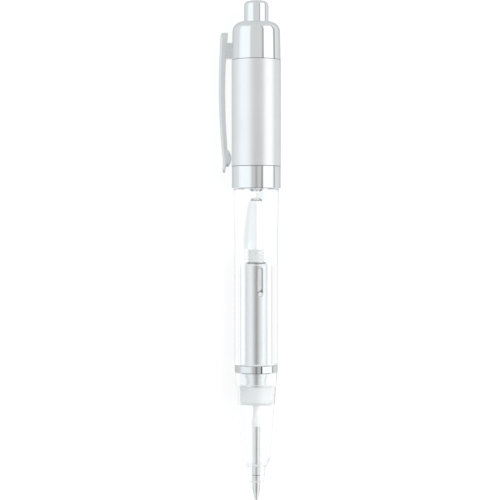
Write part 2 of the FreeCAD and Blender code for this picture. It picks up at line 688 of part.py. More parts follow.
def make_lead_minus():
    """The lead that is bent out to the band."""
    body = new_body("led_lead_minus")
    bent = [
        ("lead_offset - lead_radius", "lamp_back"),
        ("lead_offset + lead_radius", "lamp_back"),
        ("lead_offset + lead_radius", "lamp_back + lead_rise - lead_radius"),
        ("spigot_inside - slip / 2", "lamp_back + lead_rise - lead_radius"),
        ("spigot_inside - slip / 2", "lamp_back + lead_rise + lead_radius"),
        ("lead_offset - lead_radius + lead_bend", "lamp_back + lead_rise + lead_radius"),
        ("lead_offset - lead_radius", "lamp_back + lead_rise + lead_radius - lead_bend",
         "lead_bend", "left"),
    ]
    pushed(body, "wire", lambda sketch: draw_outline(sketch, bent), "2 * lead_radius", both=True)
    return body


def make_clear_barrel():
    """Thick clear barrel: socket for the lamp above, bore with a bullet end below."""
    body = new_body("clear_barrel")
    neck_at = "bullet_tip - bullet_dome"
    dome = "(bullet_neck_radius ^ 2 + bullet_dome ^ 2) / (2 * bullet_dome)"
    turned(body, "barrel", [
        ("0", "bullet_tip", dome, "left"),
        ("0", "lamp_tip - slip"),
        ("lamp_radius + slip", "lamp_tip + lamp_radius", "lamp_radius + slip", "left"),
        ("lamp_radius + slip", "spigot_end"),
        ("clear_spigot_radius", "spigot_end"),
        ("clear_spigot_radius", "band_foot"),
        ("clear_top_radius", "band_foot"),
        ("clear_radius", "clear_foot + clear_parallel",
         bow_radius("clear_radius", "clear_top_radius", "clear_length - clear_parallel"), "left"),
        ("clear_radius", "clear_foot"),
        ("bore_radius", "clear_foot"),
        ("bore_radius", "bullet_base"),
        ("bullet_base_radius", "bullet_base"),
        ("bullet_neck_radius", neck_at, "bullet_ogive", "left"),
    ])
    return body


def make_drive_bush():
    """Clear bush that grips the stub in the end of the bore."""
    body = new_body("drive_bush")
    turned(body, "bush", [
        ("stub_radius + slip", "bullet_base - bush_length"),
        ("bore_radius - slip / 2", "bullet_base - bush_length"),
        ("bore_radius - slip / 2", "bullet_base"),
        ("stub_radius + slip", "bullet_base"),
    ])
    return body


def make_mechanism_cam():
    """Nylon tube with a helical slot and a ribbed stub that the drive bush holds."""
    body = new_body("mechanism_cam")
    stem = [
        ("0", "cam_top - cam_roof"),
        ("cam_bore", "cam_top - cam_roof"),
        ("cam_bore", "cam_foot"),
        ("cam_radius", "cam_foot"),
        ("cam_radius", "cam_top - cam_round"),
        ("cam_radius - cam_round", "cam_top", "cam_round", "left"),
        ("stub_radius", "cam_top"),
    ]
    pitch = "((stub_top - sleeve_top - end_gap) / stub_ribs)"
    for rib in range(int(value("stub_ribs"))):
        foot = f"(sleeve_top + end_gap + {rib} * {pitch})"
        stem.append(("stub_radius", f"{foot} + {pitch} * 0.5"))
        stem.append(("stub_radius - stub_groove", f"{foot} + {pitch} * 0.62"))
        stem.append(("stub_radius - stub_groove", f"{foot} + {pitch} * 0.88"))
        stem.append(("stub_radius", f"{foot} + {pitch}"))
    stem.append(("0", "stub_top"))
    turned(body, "tube", stem)
    before = volume_now(body)
    sketch = new_sketch(body, "slot_section")
    section = box_corners("cam_bore - 0.3", "helix_start - helix_height / 2", "cam_radius + 0.3",
                          "helix_start + helix_height / 2")
    draw_outline(sketch, section)
    helix = body.newObject("PartDesign::SubtractiveHelix", "helical_slot")
    helix.Profile = sketch
    helix.ReferenceAxis = (sketch, ["V_Axis"])
    helix.Mode = "pitch-height-angle"
    helix.Pitch = value("helix_lead")
    helix.Height = value("helix_rise")
    helix.setExpression("Pitch", bind("helix_lead"))
    helix.setExpression("Height", bind("helix_rise"))
    sketch.Visibility = False
    cut_checked(body, before)
    return body


def slot_outline(foot, head, width):
    half = f"({width}) / 2"
    return [
        (half, f"{head} - {half}"),
        ("0", head, half, "left"),
        (f"-{half}", f"{head} - {half}", half, "left"),
        (f"-{half}", f"{foot} + {half}"),
        ("0", foot, half, "left"),
        (half, f"{foot} + {half}", half, "left"),
    ]


def make_mechanism_sleeve():
    """Chrome sleeve: round shoulder, straight guide slot in front, flange and tail at the foot."""
    body = new_body("mechanism_sleeve")
    hole = "stub_radius + running"
    inner = "sleeve_shoulder - sleeve_wall"
    turned(body, "tube", [
        (hole, "sleeve_top"),
        (hole, "sleeve_top - sleeve_wall"),
        (f"sleeve_bore - ({inner})", "sleeve_top - sleeve_wall"),
        ("sleeve_bore", f"sleeve_top - sleeve_wall - ({inner})", inner, "right"),
        ("sleeve_bore", "flange_seat - sleeve_tail"),
        ("sleeve_radius", "flange_seat - sleeve_tail"),
        ("sleeve_radius", "flange_seat"),
        ("sleeve_flange", "flange_seat"),
        ("sleeve_flange", "sleeve_ledge"),
        ("sleeve_radius", "sleeve_ledge"),
        ("sleeve_radius", "sleeve_top - sleeve_shoulder"),
        ("sleeve_radius - sleeve_shoulder", "sleeve_top", "sleeve_shoulder", "left"),
    ])
    before = volume_now(body)
    outline = slot_outline("slot_foot", "slot_head", "slot_width")
    pushed(body, "guide_slot", lambda sketch: draw_outline(sketch, outline), "sleeve_radius + 1",
           "PartDesign::Pocket", toward=1)
    cut_checked(body, before)
    return body


def make_refill_follower():
    """Carrier in the cam's bore. Its lug passes through the helical slot into the guide slot."""
    body = new_body("refill_follower")
    turned(body, "carrier", [
        ("stem_radius + slip / 2", "carrier_foot"),
        ("carrier_radius", "carrier_foot"),
        ("carrier_radius", "carrier_top"),
        ("0", "carrier_top"),
        ("0", "stem_top"),
        ("stem_radius + slip / 2", "stem_top"),
    ])
    pushed(body, "lug", lambda sketch: draw_circle(sketch, "0", "lug_at", "lug_radius"),
           "sleeve_radius - running", toward=1)
    return body


def make_trim_ring():
    """Ring on top of the nose, with a thin collar around the chrome sleeve."""
    body = new_body("trim_ring")
    inside = "sleeve_radius + slip"
    turned(body, "ring", [
        (inside, "ring_foot - ring_skirt"),
        (f"{inside} + ring_skirt_wall", "ring_foot - ring_skirt"),
        (f"{inside} + ring_skirt_wall", "ring_foot"),
        ("ring_radius - rim_chamfer", "ring_foot"),
        ("ring_radius", "ring_foot + rim_chamfer"),
        ("ring_radius", "clear_foot - end_gap - rim_chamfer"),
        ("ring_radius - rim_chamfer", "clear_foot - end_gap"),
        (inside, "clear_foot - end_gap"),
    ])
    return body


def make_nose_cone():
    """Clear nose: straight cone, round shoulder and short end, with a stepped socket for the cup."""
    body = new_body("nose_cone")
    drop = "nose_shoulder_drop"
    step = "(nose_shoulder_radius - nose_neck_radius)"
    shoulder = f"({drop} ^ 2 + {step} ^ 2) / (2 * {step})"
    guide = "refill_radius + nose_guide"
    turned(body, "cone", [
        (guide, "nose_foot"),
        ("nose_end_radius - nose_end_round", "nose_foot"),
        ("nose_end_radius", "nose_foot + nose_end_round", "nose_end_round", "left"),
        ("nose_neck_radius", "nose_neck"),
        ("nose_shoulder_radius", "nose_shoulder", shoulder, "left"),
        ("nose_top_radius", "ring_foot"),
        ("nose_socket", "ring_foot"),
        ("nose_socket", "flange_seat"),
        ("cup_radius + slip", "flange_seat"),
        ("cup_low_radius + slip", "cup_foot"),
        ("nose_void_top", "cup_foot"),
        ("nose_void_low", "nose_shoulder"),
        (guide, "nose_neck"),
    ])
    return body


def make_nose_bushing():
    """Translucent cup that holds the tail of the chrome sleeve and guides the refill."""
    body = new_body("nose_bushing")
    turned(body, "cup", [
        ("cup_hole", "cup_foot"),
        ("cup_low_radius - cup_round", "cup_foot"),
        ("cup_low_radius", "cup_foot + cup_round", "cup_round", "left"),
        ("cup_radius", "flange_seat"),
        ("sleeve_radius + slip / 2", "flange_seat"),
        ("sleeve_radius + slip / 2", "flange_seat - sleeve_tail"),
        ("cup_hole", "flange_seat - sleeve_tail"),
    ])
    return body


def make_refill_tube():
    """Plastic stem with a collar that takes the steel tube."""
    body = new_body("refill_tube")
    turned(body, "stem", [
        ("stem_bore", "collar_foot"),
        ("collar_radius", "collar_foot"),
        ("collar_radius", "collar_foot + collar_length"),
        ("stem_radius", "collar_foot + collar_length + collar_taper"),
        ("stem_radius", "stem_top"),
        ("stem_bore", "stem_top"),
    ])
    return body


def make_refill_body():
    body = new_body("refill_body")
    turned(body, "tube", [
        ("refill_radius - refill_wall", "joint_at"),
        ("refill_radius", "joint_at"),
        ("refill_radius", "collar_foot"),
        ("refill_radius - refill_wall", "collar_foot"),
    ])
    return body


def make_refill_point():
    """Point with a stepped cone, and a round seat for the ball."""
    body = new_body("refill_point")
    seat = "(ball_radius + 0.02)"
    turned(body, "point", [
        ("0", f"ball_radius + {seat}", seat, "left"),
        ("0", "joint_at"),
        ("refill_radius", "joint_at"),
        ("refill_radius", "ball_radius + cone_length"),
        ("cone_mid_radius", "ball_radius + cone_fine"),
        ("tip_radius", "ball_radius"),
        (seat, "ball_radius"),
    ])
    return body


def make_refill_ball():
    body = new_body("refill_ball")
    turned(body, "ball", [
        ("0", "0"),
        ("ball_radius", "ball_radius", "ball_radius", "left"),
        ("0", "2 * ball_radius", "ball_radius", "left"),
    ])
    return body


def outer_edge(middle):
    """The edges around the outside of the clip, without the tip's."""
    aside = abs(middle.z) > value("clip_width / 2 - clip_head_round")
    outside = -middle.x > value("clip_foot_reach - clip_sheet / 2")
    above = middle.y > value("clip_tip + clip_tip_round")
    return above and outside and (aside or middle.y > value("clip_head") - 0.05)


def head_edge(middle):
    """The two short edges at the head of the clip."""
    at_side = abs(abs(middle.z) - value("clip_width / 2")) < 1e-3
    return at_side and abs(middle.y - value("clip_head")) < 1e-3


def tip_edge(middle):
    """The two short edges at the tip of the clip."""
    at_side = abs(abs(middle.z) - value("clip_width / 2")) < 1e-3
    return at_side and abs(middle.y - value("clip_tip")) < 1e-3


def round_edges(body, name, radius, test):
    """A fillet of the edges whose middle passes the test."""
    doc.recompute()
    base = body.Tip
    names = []
    for number, edge in enumerate(base.Shape.Edges, start=1):
        middle = edge.valueAt((edge.FirstParameter + edge.LastParameter) / 2)
        if test(middle):
            names.append(f"Edge{number}")
    rounding = body.newObject("PartDesign::Fillet", name)
    rounding.Base = (base, names)
    rounding.Radius = value(radius)
    rounding.setExpression("Radius", bind(radius))


def make_clip():
    """Bowed clip of sheet metal: a channel open to the barrel, with a pressed bump, a flared tip
    and a hooked tongue that passes through the cap."""
    body = new_body("clip")
    head_in = "(clip_head_reach - clip_depth_head)"
    mid_in = "(clip_reach - clip_depth_mid)"
    upper = "clip_head - clip_bow"
    lower = "clip_bow - bump_centre"
    side = [
        ("-clip_head_reach", "clip_head"),
        ("-clip_reach", "clip_bow", bow_radius("clip_head_reach", "clip_reach", upper), "left"),
        ("-clip_foot_reach", "bump_centre", "bow_lower", "left"),
        ("-clip_tip_reach", "clip_tip", "flare_radius", "right"),
        ("-clip_tip_reach + clip_tip_depth", "clip_tip"),
        ("-bump_base", "bump_centre"),
        (f"-{mid_in}", "clip_bow", bow_radius("bump_base", mid_in, lower), "right"),
        (f"-{head_in}", "clip_head", bow_radius(head_in, mid_in, upper), "right"),
    ]
    pushed(body, "strip", lambda sketch: draw_outline(sketch, side), "clip_width", both=True)
    before = volume_now(body)
    round_edges(body, "head_rounding", "clip_head_round", head_edge)
    round_edges(body, "tip_rounding", "clip_tip_round", tip_edge)
    round_edges(body, "edge_rounding", "clip_edge_round", outer_edge)
    sheet = "clip_sheet"
    channel_foot = "bump_centre + bump_radius"
    channel = [
        (f"-clip_head_reach + {sheet}", f"clip_head - {sheet}"),
        (f"-clip_reach + {sheet}", "clip_bow",
         bow_radius("clip_head_reach", "clip_reach", f"{upper} - {sheet}"), "left"),
        ("-channel_end_reach", channel_foot,
         bow_radius("channel_end_reach", f"(clip_reach - {sheet})", f"clip_bow - ({channel_foot})"), "left"),
        ("-barrel_radius", channel_foot),
        ("-barrel_radius", f"clip_head - {sheet}"),
    ]
    pushed(body, "channel", lambda sketch: draw_outline(sketch, channel), f"clip_width - 2 * {sheet}",
           "PartDesign::Pocket", both=True)
    cut_checked(body, before)
    tongue = [
        (f"-clip_reach + {sheet} / 2", "tongue_foot"),
        ("-hook_face", "tongue_foot"),
        ("-hook_face", "tongue_top + hook_rise"),
        ("-hook_face - hook_thick", "tongue_top + hook_rise"),
        ("-hook_face - hook_thick", "tongue_top"),
        (f"-clip_head_reach + {sheet} / 2", "tongue_top"),
    ]
    pushed(body, "tongue", lambda sketch: draw_outline(sketch, tongue), "tongue_width", both=True)
    sketch = new_sketch(body, "bump_outline")
    draw_outline(sketch, [
        (f"-clip_foot_reach + {sheet}", "0"),
        (f"-clip_foot_reach + {sheet}", "bump_radius"),
        ("-bump_base", "bump_radius"),
        ("-bump_face", "0", "bump_sphere", "right"),
    ])
    sketch.setExpression("AttachmentOffset.Base.y", bind("bump_centre"))
    turn = body.newObject("PartDesign::Revolution", "bump")
    turn.Profile = sketch
    turn.ReferenceAxis = (sketch, ["H_Axis"])
    turn.Angle = 360.0
    sketch.Visibility = False
    doc.recompute()
    return body


MAKERS = [
    make_upper_barrel,
    make_center_band,
    make_cap,
    make_push_button,
    make_contact_pin,
    make_battery_sleeve,
    make_contact_plate,
    make_lamp,
    make_lamp_holder,
    make_lead_plus,
    make_lead_minus,
    make_clear_barrel,
    make_drive_bush,
    make_mechanism_cam,
    make_mechanism_sleeve,
    make_refill_follower,
    make_trim_ring,
    make_nose_cone,
    make_nose_bushing,
    make_refill_tube,
    make_refill_body,
    make_refill_point,
    make_refill_ball,
    make_clip,
]

bodies = {}
for make in MAKERS:
    made = make()
    bodies[made.Label] = made
for cell in (1, 2, 3):
    made = make_cell(cell)
    bodies[made.Label] = made
bodies["button_return_spring"] = make_spring(
    "button_return_spring", "sleeve_head", "flange_foot", "return_coil", "return_wire", "return_turns"
)
bodies["contact_spring"] = make_spring(
    "contact_spring", "plate_top", "cells_foot", "contact_coil", "contact_wire", "contact_turns"
)
doc.recompute()

# Each body is rolled about the pen's axis and laid down with the middle of its box over the origin
EXTRA_TURN = {
    "mechanism_sleeve": "slot_turn",
    "refill_follower": "slot_turn",
    "mechanism_cam": "slot_turn - 90 - helix_spare",
}
for name, body in bodies.items():
    turn = EXTRA_TURN.get(name, "0")
    body.Placement = FreeCAD.Placement(FreeCAD.Vector(), FreeCAD.Rotation(FreeCAD.Vector(0, 1, 0), 1))
    body.setExpression("Placement.Base.x", bind("axis_across"))
    body.setExpression("Placement.Base.y", bind("-pen_length / 2"))
    body.setExpression("Placement.Base.z", bind("barrel_radius"))
    body.setExpression("Placement.Rotation.Angle", bind(f"({turn}) * 1 deg - roll"))
bodies["contact_plate"].setExpression("Placement.Base.y", bind("holder_top - pen_length / 2"))
doc.recompute()

for item in doc.Objects:
    if "Invalid" in item.State or "Error" in item.State:
        raise ValueError(item.Label + ": " + ", ".join(item.State))
os.makedirs("parts", exist_ok=True)
for name, body in bodies.items():
    shape = body.Shape
    if shape.isNull() or not shape.isValid() or not shape.Solids:
        raise ValueError(name + ": no valid solid")
    shape.exportStep(f"parts/{name}.step")
    print(name, len(shape.Solids), round(shape.Volume, 3))
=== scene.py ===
import json
import math

import bpy
from mathutils import Matrix, Vector


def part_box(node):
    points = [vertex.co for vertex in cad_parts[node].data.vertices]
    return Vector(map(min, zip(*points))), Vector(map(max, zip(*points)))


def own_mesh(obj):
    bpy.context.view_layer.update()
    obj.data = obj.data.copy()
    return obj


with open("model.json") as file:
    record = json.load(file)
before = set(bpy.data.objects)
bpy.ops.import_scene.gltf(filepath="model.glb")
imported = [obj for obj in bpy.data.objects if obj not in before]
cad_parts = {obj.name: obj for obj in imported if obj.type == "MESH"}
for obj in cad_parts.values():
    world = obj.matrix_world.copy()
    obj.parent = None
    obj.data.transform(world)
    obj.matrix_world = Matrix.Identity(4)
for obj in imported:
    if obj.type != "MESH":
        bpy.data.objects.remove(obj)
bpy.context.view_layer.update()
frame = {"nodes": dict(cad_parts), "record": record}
NODES = frame["nodes"]

# The lying pen: its axis runs along +Y, and the clip is rolled below the level on the -X side
satin_low, satin_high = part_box("upper_barrel")
AXIS_X = (satin_low.x + satin_high.x) / 2
AXIS_Z = (satin_low.z + satin_high.z) / 2
TIP_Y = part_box("refill_ball")[0].y
ROLL = math.radians(29.09)
HEADWARD = Vector((0, 1, 0))
TOWARDS_CAMERA = Vector((-math.sin(ROLL), 0, math.cos(ROLL)))
PICTURE_RIGHT = Vector((math.cos(ROLL), 0, math.sin(ROLL)))

# The photograph: 500 pixels square, and its scale at the pen's axis
PIXELS = 500
PIXEL_M = 0.2815e-3
AXIS_PX = 256.3
EYE_PX = 237.0
TIP_PX = 501.0
FOCAL_PX = 1600.0
SENSOR_MM = 36.0

# The range of a noise texture that counts, and the depths of bumps in metres
NOISE_LOW, NOISE_HIGH = 0.3, 0.7
FINE_BUMP = 0.00001
GRAIN_BUMP = 0.00002

# The band is plated beyond this radius, and inside it is pale plastic with a weak painted glow
BAND_PLATE_R = 0.00683
BAND_PLASTIC = (0.92, 0.92, 0.92, 1)
BAND_PAINTED_GLOW_COLOUR = (0.92, 0.93, 0.93, 1)
BAND_PAINTED_GLOW = 0.1

# The clear plastic
ACRYLIC_COLOUR = (0.985, 0.99, 0.992, 1)
ACRYLIC_IOR = 1.49
ACRYLIC_ROUGHEST = 0.012

# Ways that the marks of a metal run
ALONG = (1.0, 0.06, 1.0)
AROUND = (0.06, 1.0, 0.06)

BLACK = (0, 0, 0, 1)


def axis_point(along, towards=0.0):
    """A point in metres: along the pen's axis from its tip, and from there towards the camera."""
    return Vector((AXIS_X, TIP_Y + along, AXIS_Z)) + TOWARDS_CAMERA * towards


def aim(owner, right, back):
    """Turns a lamp or the camera by what is on its right and behind its back."""
    owner.rotation_mode = "QUATERNION"
    owner.rotation_quaternion = Matrix((right, HEADWARD, back)).transposed().to_quaternion()


# Nodes


def feed(tree, socket, value):
    """Sets a socket to a value, or links another socket to it."""
    if isinstance(value, bpy.types.NodeSocket):
        tree.links.new(value, socket)
    else:
        socket.default_value = value


def maths(tree, operation, *values):
    made = tree.nodes.new("ShaderNodeMath")
    made.operation = operation
    for socket, value in zip(made.inputs, values):
        feed(tree, socket, value)
    return made.outputs["Value"]


def vector_maths(tree, operation, *values):
    made = tree.nodes.new("ShaderNodeVectorMath")
    made.operation = operation
    for socket, value in zip(made.inputs, values):
        feed(tree, socket, value)
    return made.outputs["Value" if operation in ("DOT_PRODUCT", "LENGTH") else "Vector"]


def blend_colours(tree, share, first, second):
    mixed = tree.nodes.new("ShaderNodeMix")
    mixed.data_type = "RGBA"
    for place, value in ((0, share), (6, first), (7, second)):
        feed(tree, mixed.inputs[place], value)
    return mixed.outputs[2]


def mix_shaders(tree, share, first, second):
    mixed = tree.nodes.new("ShaderNodeMixShader")
    for place, value in enumerate((share, first, second)):
        tree.links.new(value, mixed.inputs[place])
    return mixed.outputs["Shader"]


def between(tree, source, low, high):
    """Goes smoothly from 0 at low to 1 at high, which may be the lower number."""
    step = tree.nodes.new("ShaderNodeMapRange")
    step.interpolation_type = "SMOOTHSTEP"
    step.inputs["From Min"].default_value = low
    step.inputs["From Max"].default_value = high
    tree.links.new(source, step.inputs["Value"])
    return step.outputs["Result"]


# Materials


def material(name):
    made = bpy.data.materials.new(name)
    made.use_nodes = True
    return made, made.node_tree, made.node_tree.nodes["Principled BSDF"]


def noise(tree, scale, detail=4.0, stretch=(1.0, 1.0, 1.0)):
    """Noise in the object's own coordinates, in metres."""
    mapping = tree.nodes.new("ShaderNodeMapping")
    mapping.inputs["Scale"].default_value = stretch
    grain = tree.nodes.new("ShaderNodeTexNoise")
    grain.inputs["Scale"].default_value = scale
    grain.inputs["Detail"].default_value = detail
    place = tree.nodes.new("ShaderNodeTexCoord")
    tree.links.new(place.outputs["Object"], mapping.inputs["Vector"])
    tree.links.new(mapping.outputs["Vector"], grain.inputs["Vector"])
    return grain.outputs["Fac"]


def spread(tree, source, lowest, highest):
    """The noise laid over the range from lowest to highest."""
    ranged = tree.nodes.new("ShaderNodeMapRange")
    ranged.inputs["From Min"].default_value = NOISE_LOW
    ranged.inputs["From Max"].default_value = NOISE_HIGH
    ranged.inputs["To Min"].default_value = lowest
    ranged.inputs["To Max"].default_value = highest
    tree.links.new(source, ranged.inputs["Value"])
    return ranged.outputs["Result"]


def tint(tree, source, dark, pale):
    """The noise as colours from dark to pale."""
    ramp = tree.nodes.new("ShaderNodeValToRGB")
    stops = ramp.color_ramp.elements
    for stop, position, colour in zip(stops, (NOISE_LOW, NOISE_HIGH), (dark, pale)):
        stop.position = position
        stop.color = (*colour, 1)
    tree.links.new(source, ramp.inputs["Fac"])
    return ramp.outputs["Color"]


def bump(tree, shader, source, strength, depth=FINE_BUMP):
    made = tree.nodes.new("ShaderNodeBump")
    made.inputs["Strength"].default_value = strength
    made.inputs["Distance"].default_value = depth
    tree.links.new(source, made.inputs["Height"])
    tree.links.new(made.outputs["Normal"], shader.inputs["Normal"])


def shade_stretch(made, node, centre, half, share):
    """Darkens a stretch of a piece: its middle on the frame's Y, half its length, and how much."""
    tree = made.node_tree
    base = tree.nodes["Principled BSDF"].inputs["Base Color"]
    along = tree.nodes.new("ShaderNodeSeparateXYZ")
    place = tree.nodes.new("ShaderNodeTexCoord")
    tree.links.new(place.outputs["Object"], along.inputs["Vector"])
    middle = NODES[node].matrix_world.inverted() @ Vector((AXIS_X, centre, AXIS_Z))
    there = maths(tree, "COMPARE", along.outputs["Y"], middle.y, half)
    amount = maths(tree, "MULTIPLY", there, share)
    plain = base.links[0].from_socket
    tree.links.new(blend_colours(tree, amount, plain, BLACK), base)


def chrome(name):
    made, tree, shader = material(name)
    shader.inputs["Metallic"].default_value = 1.0
    clouds = noise(tree, 160.0)
    scratches = noise(tree, 2400.0, 2.0, (1.0, 0.08, 1.0))
    colour = tint(tree, clouds, (0.865, 0.872, 0.876), (0.889, 0.894, 0.897))
    tree.links.new(colour, shader.inputs["Base Color"])
    tree.links.new(spread(tree, scratches, 0.05, 0.09), shader.inputs["Roughness"])
    bump(tree, shader, scratches, 0.05)
    return made


def plated_band():
    """Chrome plate outside the pale plastic of its bore and foot."""
    made = chrome("plated_band")
    tree = made.node_tree
    plate = tree.nodes["Principled BSDF"].outputs["BSDF"]
    plain = tree.nodes.new("ShaderNodeBsdfPrincipled")
    plain.inputs["Base Color"].default_value = BAND_PLASTIC
    plain.inputs["Roughness"].default_value = 0.5
    # A weak painted glow lightens the pale plastic
    plain.inputs["Emission Color"].default_value = BAND_PAINTED_GLOW_COLOUR
    plain.inputs["Emission Strength"].default_value = BAND_PAINTED_GLOW
    position = tree.nodes.new("ShaderNodeNewGeometry").outputs["Position"]
    apart = vector_maths(tree, "SUBTRACT", position, (AXIS_X, 0, AXIS_Z))
    radius = vector_maths(tree, "LENGTH", vector_maths(tree, "MULTIPLY", apart, (1, 0, 1)))
    outside = maths(tree, "GREATER_THAN", radius, BAND_PLATE_R)
    surface = mix_shaders(tree, outside, plain.outputs["BSDF"], plate)
    tree.links.new(surface, tree.nodes["Material Output"].inputs["Surface"])
    return made


def satin():
    made, tree, shader = material("satin_silver")
    shader.inputs["Metallic"].default_value = 1.0
    grain = noise(tree, 5200.0, 3.0)
    clouds = noise(tree, 90.0)
    colour = tint(tree, clouds, (0.905, 0.908, 0.91), (0.94, 0.942, 0.944))
    tree.links.new(colour, shader.inputs["Base Color"])
    tree.links.new(spread(tree, grain, 0.34, 0.42), shader.inputs["Roughness"])
    bump(tree, shader, grain, 0.12, GRAIN_BUMP)
    return made


def metal(name, dark, pale, rough, stretch):
    made, tree, shader = material(name)
    shader.inputs["Metallic"].default_value = 1.0
    marks = noise(tree, 1500.0, 3.0, stretch)
    tree.links.new(tint(tree, marks, dark, pale), shader.inputs["Base Color"])
    tree.links.new(spread(tree, marks, rough * 0.8, rough * 1.2), shader.inputs["Roughness"])
    bump(tree, shader, marks, 0.1)
    return made


def moulded(name, dark, pale, rough, through=0.0, glow=0.0):
    """Moulded plastic, with a painted glow that stands in for light scattered through it if it is
    pale and thin.
    """
    made, tree, shader = material(name)
    clouds = noise(tree, 420.0)
    fine = noise(tree, 4200.0)
    tree.links.new(tint(tree, clouds, dark, pale), shader.inputs["Base Color"])
    tree.links.new(spread(tree, fine, rough * 0.85, rough * 1.15), shader.inputs["Roughness"])
    shader.inputs["IOR"].default_value = 1.5
    shader.inputs["Transmission Weight"].default_value = through
    # The emission is a painted glow
    shader.inputs["Emission Color"].default_value = (*pale, 1)
    shader.inputs["Emission Strength"].default_value = glow
    bump(tree, shader, fine, 0.06)
    return made


def clear_acrylic():
    """Clear polished plastic. Lamps shine through it onto what is behind."""
    made, tree, shader = material("clear_acrylic")
    shader.inputs["Base Color"].default_value = ACRYLIC_COLOUR
    shader.inputs["IOR"].default_value = ACRYLIC_IOR
    shader.inputs["Transmission Weight"].default_value = 1.0
    flow = noise(tree, 260.0, 2.0)
    tree.links.new(spread(tree, flow, 0.0, ACRYLIC_ROUGHEST), shader.inputs["Roughness"])
    see_through = tree.nodes.new("ShaderNodeBsdfTransparent")
    see_through.inputs["Color"].default_value = ACRYLIC_COLOUR
    shadow = tree.nodes.new("ShaderNodeLightPath").outputs["Is Shadow Ray"]
    surface = mix_shaders(tree, shadow, shader.outputs["BSDF"], see_through.outputs["BSDF"])
    tree.links.new(surface, tree.nodes["Material Output"].inputs["Surface"])
    return made


# Plastics: darkest, palest, roughness, light through them and painted glow
NYLON = ((0.92, 0.92, 0.91), (0.96, 0.96, 0.955), 0.42, 0.0, 0.06)
PLASTICS = {
    "lamp_epoxy": ((0.92, 0.93, 0.95), (0.97, 0.97, 0.98), 0.15, 0.0, 0.1),
    "frosted_plastic": ((0.93, 0.95, 0.96), (0.97, 0.98, 0.985), 0.35, 0.2, 0.05),
    "stem_plastic": ((0.94, 0.95, 0.96), (0.97, 0.97, 0.98), 0.35),
    "liner_plastic": ((0.78, 0.78, 0.78), (0.84, 0.84, 0.84), 0.5),
    "holder_plastic": ((0.9, 0.9, 0.9), (0.94, 0.94, 0.94), 0.5, 0.0, 0.15),
}
# Metals: darkest, palest, roughness and the way that their marks run
METALS = {
    "refill_steel": ((0.78, 0.785, 0.79), (0.84, 0.845, 0.85), 0.14, ALONG),
    "nickel_silver": ((0.8, 0.798, 0.79), (0.85, 0.848, 0.84), 0.12, AROUND),
    "ball_steel": ((0.45, 0.45, 0.47), (0.55, 0.55, 0.57), 0.1, AROUND),
    "cell_can": ((0.68, 0.68, 0.69), (0.76, 0.76, 0.77), 0.2, AROUND),
    "brass_contact": ((0.74, 0.58, 0.3), (0.84, 0.7, 0.42), 0.28, AROUND),
    "spring_wire": ((0.5, 0.5, 0.52), (0.64, 0.64, 0.66), 0.25, AROUND),
    "tinned_wire": ((0.72, 0.72, 0.73), (0.8, 0.8, 0.81), 0.3, ALONG),
}
LOOKS = {
    "chrome": chrome("bright_chrome"),
    "satin_silver": satin(),
    "clear_plastic": clear_acrylic(),
}
LOOKS.update((slot, moulded(slot, *values)) for slot, values in PLASTICS.items())
LOOKS.update((slot, metal(slot, *values)) for slot, values in METALS.items())
OWN_LOOKS = {
    "clip": metal("brushed_clip", (0.82, 0.83, 0.835), (0.87, 0.88, 0.885), 0.55, ALONG),
    "center_band": plated_band(),
    "mechanism_sleeve": chrome("flanged_sleeve"),
    "mechanism_cam": moulded("shaded_mechanism_cam", *NYLON),
    "refill_follower": moulded("shaded_refill_follower", *NYLON),
}
for part in frame["record"]["subparts"]:
    node = part["node"]
    look = OWN_LOOKS[node] if node in OWN_LOOKS else LOOKS[part["material_slot"]]
    NODES[node].data.materials.clear()
    NODES[node].data.materials.append(look)
NODES["clip"].visible_glossy = False

# Shade on the nylon inside the chrome sleeve, in the seams of the satin tube, on the flange of
# the sleeve and in the joint of the refill's point: half the length of each stretch, how much
# darker it is, and how far the flange's middle lies above its foot
SLEEVE_SHADE = 0.24
SEAM_HALF, SEAM_SHADE = 0.00014, 0.75
FLANGE_HALF, FLANGE_SHADE, FLANGE_RAISED = 0.0004, 0.62, 0.0002
JOINT_HALF, JOINT_SHADE = 0.0002, 0.6

sleeve_low, sleeve_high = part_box("mechanism_sleeve")
sleeve_middle = (sleeve_low.y + sleeve_high.y) / 2
sleeve_half = (sleeve_high.y - sleeve_low.y) / 2
flange = sleeve_low.y + FLANGE_RAISED
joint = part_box("refill_point")[1].y
for node in ("mechanism_cam", "refill_follower"):
    shade_stretch(OWN_LOOKS[node], node, sleeve_middle, sleeve_half, SLEEVE_SHADE)
for seam in (satin_low.y, satin_high.y):
    shade_stretch(LOOKS["satin_silver"], "upper_barrel", seam, SEAM_HALF, SEAM_SHADE)
shade_stretch(OWN_LOOKS["mechanism_sleeve"], "mechanism_sleeve", flange, FLANGE_HALF, FLANGE_SHADE)
shade_stretch(LOOKS["nickel_silver"], "refill_point", joint, JOINT_HALF, JOINT_SHADE)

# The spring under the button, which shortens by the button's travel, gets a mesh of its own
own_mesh(NODES["button_return_spring"])

